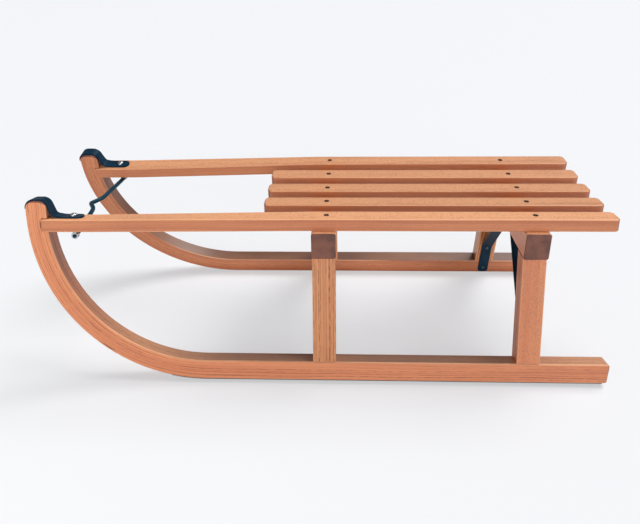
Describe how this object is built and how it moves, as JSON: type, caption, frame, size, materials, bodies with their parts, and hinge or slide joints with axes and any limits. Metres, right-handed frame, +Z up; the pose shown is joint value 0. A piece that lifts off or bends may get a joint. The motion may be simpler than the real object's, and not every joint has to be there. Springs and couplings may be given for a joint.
{
  "type": "davos sled",
  "caption": "Wooden slatted sled on two runners that lean in and bend up into horns, with cross beams on legs, flat-iron braces, steel shoes, strapped horns and a swinging pull bow.",
  "frame": {"origin": "on the ground, under the middle of the sled's footprint", "axes": "+X towards the tail, with the horns at -X; +Z up; the sled is the same on both sides of the XZ plane"},
  "size_m": [1, 0.38, 0.327],
  "materials": {
    "beech_seat": "clear satin lacquer",
    "beech_frame": "clear satin lacquer",
    "dark_iron": "dark semi-gloss paint on flat iron",
    "shoe_steel": "rolled steel strip, worn bright on the sole",
    "bolt_steel": "bright plated steel",
    "zinc_nut": "yellow-passivated zinc"
  },
  "bodies": {
    "sled": {"beam_front": "beech_frame", "beam_rear": "beech_frame", "brace_front": "dark_iron", "brace_rear": "dark_iron", "dome_nut_left": "bolt_steel", "dome_nut_right": "bolt_steel", "eye_bolt_left": "bolt_steel", "eye_bolt_right": "bolt_steel", "horn_cap_left": "dark_iron", "horn_cap_right": "dark_iron", "leg_front_left": "beech_frame", "leg_front_right": "beech_frame", "leg_rear_left": "beech_frame", "leg_rear_right": "beech_frame", "lower_nut_left": "zinc_nut", "lower_nut_right": "zinc_nut", "runner_left": "beech_frame", "runner_right": "beech_frame", "shoe_left": "shoe_steel", "shoe_right": "shoe_steel", "slat_inner_left": "beech_seat", "slat_inner_right": "beech_seat", "slat_middle": "beech_seat", "slat_outer_left": "beech_seat", "slat_outer_right": "beech_seat"},
    "pull_bow": {"pull_bow": "dark_iron"}
  },
  "joints": [
    {"name": "bow_swing", "type": "hinge", "parent": "sled", "child": "pull_bow", "pos_m": [-0.421, 0, 0.25997], "axis": [0, 1, 0], "continuous": true}
  ]
}
